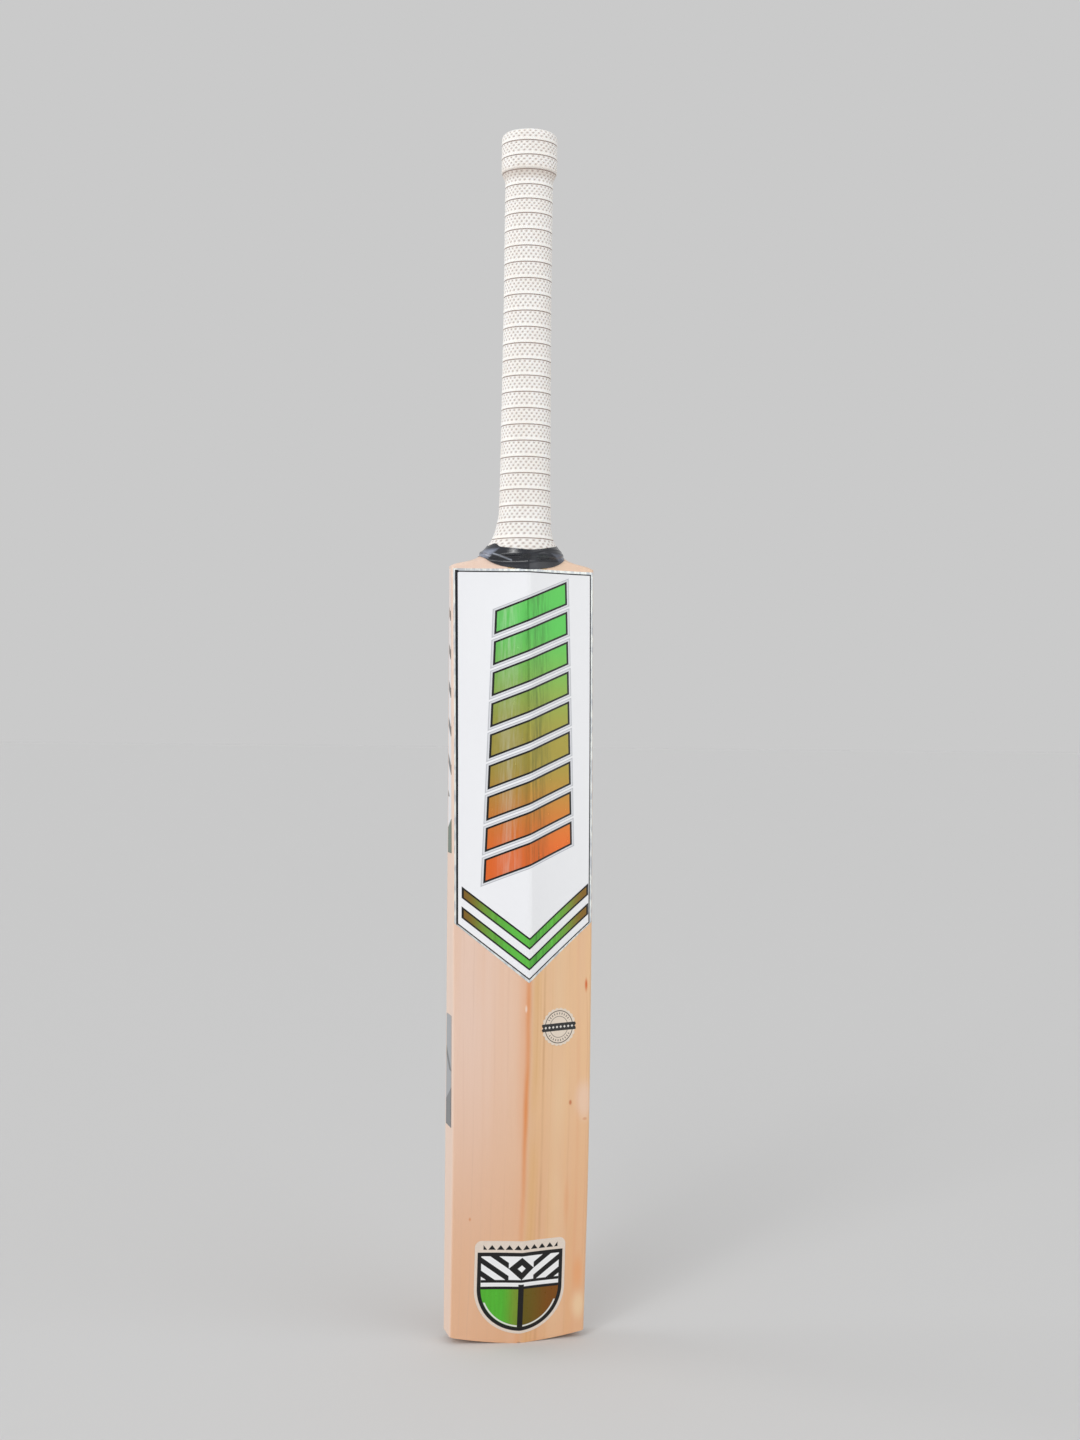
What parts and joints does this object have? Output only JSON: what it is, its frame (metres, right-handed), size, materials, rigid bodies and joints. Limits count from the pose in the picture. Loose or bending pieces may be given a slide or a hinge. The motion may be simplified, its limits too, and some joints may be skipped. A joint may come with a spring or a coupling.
{
  "type": "cricket bat",
  "caption": "Full-size cricket bat: willow blade with a ridged back, spliced cane handle under a ribbed rubber grip, shoulder tape and printed labels.",
  "frame": {"origin": "under the middle of the bat's box, at the height of the toe's lowest point; x = 0 is the blade's centre line", "axes": "+Z from the toe to the top of the handle, +X across the blade, the hitting face looks along +Y and the ridged back along -Y"},
  "size_m": [0.1054, 0.0524, 0.864],
  "materials": {
    "willow": "oiled, satin",
    "cane": "sanded",
    "spring_rubber": "matt",
    "twine": "waxed",
    "whipping": "waxed",
    "grip_rubber": "moulded, ribbed and dimpled",
    "tape": "glossy, wrinkled",
    "label": "printed, glossy"
  },
  "bodies": {
    "root": {"blade": "willow", "spring_back": "spring_rubber", "spring_front": "spring_rubber", "cane_back_1": "cane", "cane_back_2": "cane", "cane_back_3": "cane", "cane_back_4": "cane", "cane_middle_1": "cane", "cane_middle_2": "cane", "cane_middle_3": "cane", "cane_middle_4": "cane", "cane_front_1": "cane", "cane_front_2": "cane", "cane_front_3": "cane", "cane_front_4": "cane", "twine_binding": "twine", "collar_whipping": "whipping", "grip": "grip_rubber", "shoulder_tape": "tape", "back_label": "label", "seal_label": "label", "toe_label": "label", "edge_label_left_upper": "label", "edge_label_left_lower": "label", "edge_label_right_upper": "label", "edge_label_right_lower": "label"}
  },
  "joints": []
}
